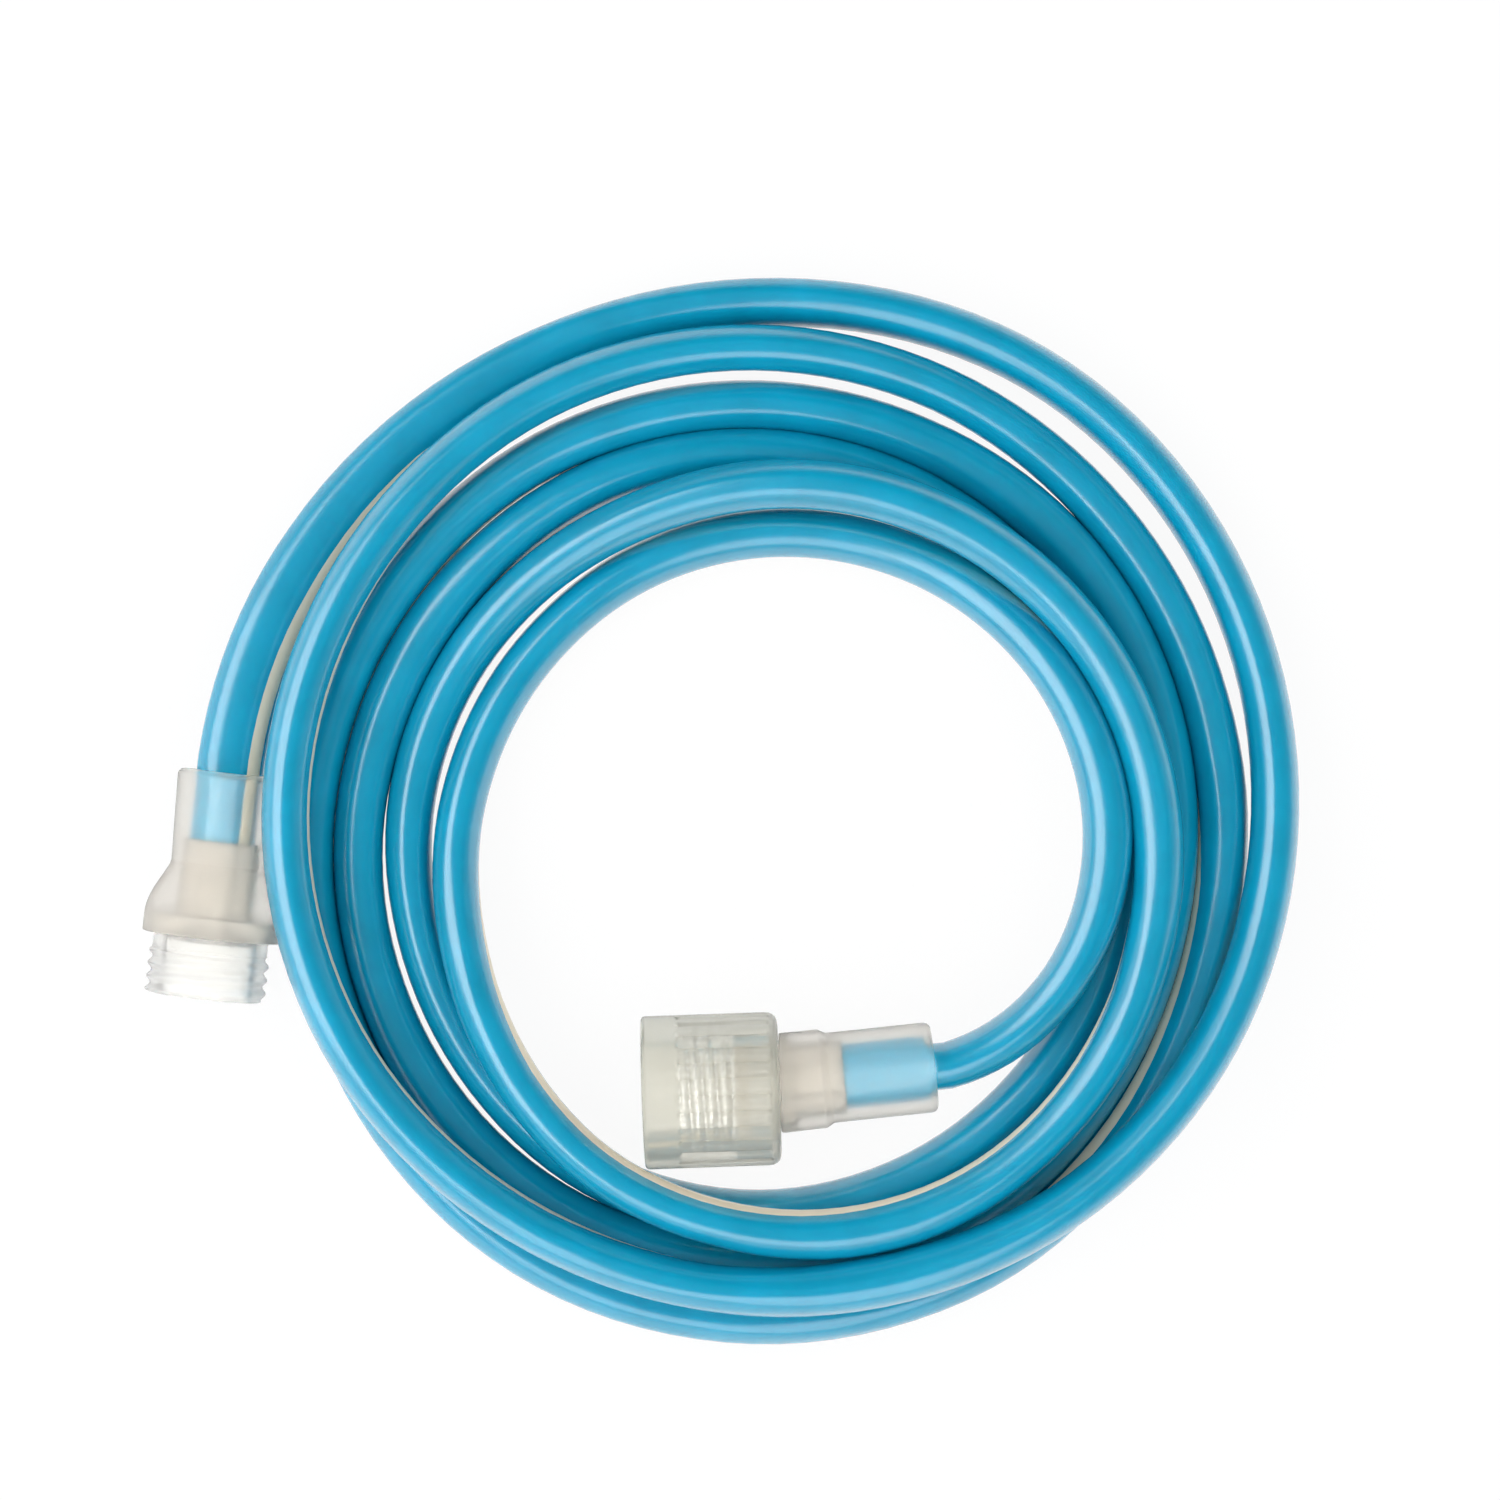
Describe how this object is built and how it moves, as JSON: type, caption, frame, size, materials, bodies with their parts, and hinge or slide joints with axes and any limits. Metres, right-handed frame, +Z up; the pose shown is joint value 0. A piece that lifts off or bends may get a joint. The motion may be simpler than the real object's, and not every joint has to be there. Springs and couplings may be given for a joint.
{
  "type": "vacuum hose",
  "caption": "Clear blue vinyl vacuum hose wound in a flat coil, with a threaded male end and a loose swivel nut on the other end.",
  "frame": {"origin": "centre of the bounding box in plan, on the ground the coil lies on", "axes": "+Z up out of the coil's plane, +X from the male end toward the far side of the coil, +Y toward the side where both ends point away from"},
  "size_m": [0.2546, 0.2359, 0.0339],
  "materials": {
    "hose_vinyl": "flexible blue vinyl, slightly translucent, with a co-extruded cream stripe",
    "clear_plastic": "hard clear moulded plastic",
    "frosted_sleeve": "soft frosted vinyl moulding",
    "frosted_nut": "frosted translucent plastic",
    "washer_rubber": "grey rubber"
  },
  "bodies": {
    "hose": {"hose_coil": "hose_vinyl", "hose_end_male": "hose_vinyl", "hose_end_female": "hose_vinyl", "male_insert": "clear_plastic", "male_sleeve": "frosted_sleeve", "female_tailpiece": "clear_plastic", "female_sleeve": "frosted_sleeve"},
    "nut": {"swivel_nut": "frosted_nut", "seal_washer": "washer_rubber"}
  },
  "joints": [
    {"name": "nut_spin", "type": "hinge", "parent": "hose", "child": "nut", "pos_m": [-0.00249, -0.0615, 0.0171], "axis": [0.9994, 0.0349, 0], "continuous": true}
  ]
}
